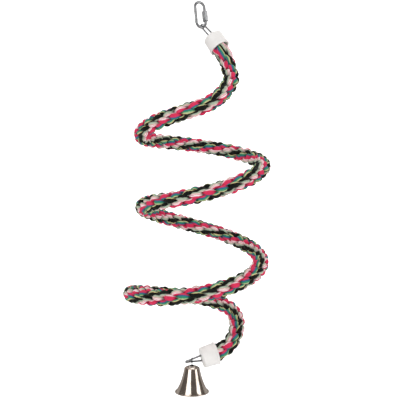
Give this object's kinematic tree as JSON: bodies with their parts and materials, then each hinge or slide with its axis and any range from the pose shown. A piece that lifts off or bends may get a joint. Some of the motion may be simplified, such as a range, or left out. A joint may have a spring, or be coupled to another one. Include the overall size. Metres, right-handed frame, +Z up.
{
  "type": "hanging spiral rope bird perch with bell",
  "caption": "Spiral of braided rope on a bent steel core that hangs from a quick link by a wire eye, with plastic end caps and a bell on the lower eye.",
  "frame": {"origin": "the highest point inside the quick link's upper bow, where the hook that carries the perch lies", "axes": "+Z up, -Y is the front that the perch is seen from, +X to the right seen from the front"},
  "size_m": [0.1946, 0.1861, 0.503],
  "materials": {
    "zinc_steel": "satin",
    "eye_steel": "satin",
    "core_steel": "matte",
    "collar_steel": "satin",
    "bell_nickel": "polished",
    "cap_plastic": "satin",
    "rope_cotton": "matte"
  },
  "bodies": {
    "link": {"quick_link_body": "zinc_steel"},
    "nut": {"quick_link_nut": "zinc_steel"},
    "perch_top": {"top_eye": "eye_steel", "top_ferrule": "eye_steel", "top_cap": "cap_plastic", "rope_1": "rope_cotton", "core_1": "core_steel"},
    "turn_2": {"rope_2": "rope_cotton", "core_2": "core_steel"},
    "turn_3": {"rope_3": "rope_cotton", "core_3": "core_steel"},
    "turn_4": {"rope_4": "rope_cotton", "core_4": "core_steel"},
    "turn_5": {"rope_5": "rope_cotton", "core_5": "core_steel"},
    "perch_end": {"rope_6": "rope_cotton", "core_6": "core_steel", "bottom_cap": "cap_plastic", "bottom_ferrule": "eye_steel", "bottom_eye": "eye_steel"},
    "bell": {"bell_shell": "bell_nickel", "bell_collar": "collar_steel", "bell_hanger": "eye_steel"},
    "clapper": {"clapper_wire": "eye_steel", "clapper_ball": "eye_steel"}
  },
  "joints": [
    {"name": "nut_travel", "type": "slide", "parent": "link", "child": "nut", "axis": [-0.0958, 0, 0.9954], "range_m": [0, 0.0044]},
    {"name": "perch_swing", "type": "hinge", "parent": "link", "child": "perch_top", "pos_m": [0.00304, 0, -0.0316], "axis": [0.865, 0.5017, 0], "range_deg": [-40, 30]},
    {"name": "twist_left_upper", "type": "hinge", "parent": "perch_top", "child": "turn_2", "pos_m": [-0.07673, 0.00626, -0.17427], "axis": [-0.0109, 0.9926, -0.1212], "range_deg": [-3, 8], "stiffness_Nm_per_rad": 8, "springref_deg": -1.65},
    {"name": "twist_right_upper", "type": "hinge", "parent": "turn_2", "child": "turn_3", "pos_m": [0.08435, 0.00602, -0.21322], "axis": [0.0022, -0.9598, -0.2806], "range_deg": [-6, 16], "stiffness_Nm_per_rad": 8, "springref_deg": -1.47},
    {"name": "twist_left_middle", "type": "hinge", "parent": "turn_3", "child": "turn_4", "pos_m": [-0.07478, 0.00605, -0.27094], "axis": [-0.013, 0.9846, -0.1741], "range_deg": [-6, 16], "stiffness_Nm_per_rad": 8, "springref_deg": -1.07},
    {"name": "twist_right_lower", "type": "hinge", "parent": "turn_4", "child": "turn_5", "pos_m": [0.08134, 0.00582, -0.339], "axis": [0.0193, -0.9594, -0.2814], "range_deg": [-6, 16], "stiffness_Nm_per_rad": 8, "springref_deg": -0.92},
    {"name": "twist_left_lower", "type": "hinge", "parent": "turn_5", "child": "perch_end", "pos_m": [-0.08998, 0.00562, -0.38489], "axis": [0.0441, 0.9945, -0.0946], "range_deg": [-3, 8], "stiffness_Nm_per_rad": 8, "springref_deg": -0.67},
    {"name": "bell_swing", "type": "hinge", "parent": "perch_end", "child": "bell", "pos_m": [-0.00905, -0.05071, -0.45878], "axis": [-0.8923, -0.3491, -0.2861], "range_deg": [-20, 45]},
    {"name": "clapper_swing", "type": "hinge", "parent": "bell", "child": "clapper", "pos_m": [-0.00905, -0.05071, -0.47258], "axis": [0, 1, 0], "range_deg": [-30, 30]}
  ],
  "couplings": [
    {"joint": "twist_right_upper", "follows": "twist_left_upper", "ratio": 2},
    {"joint": "twist_left_middle", "follows": "twist_left_upper", "ratio": 2},
    {"joint": "twist_right_lower", "follows": "twist_left_upper", "ratio": 2},
    {"joint": "twist_left_lower", "follows": "twist_left_upper", "ratio": 1}
  ]
}
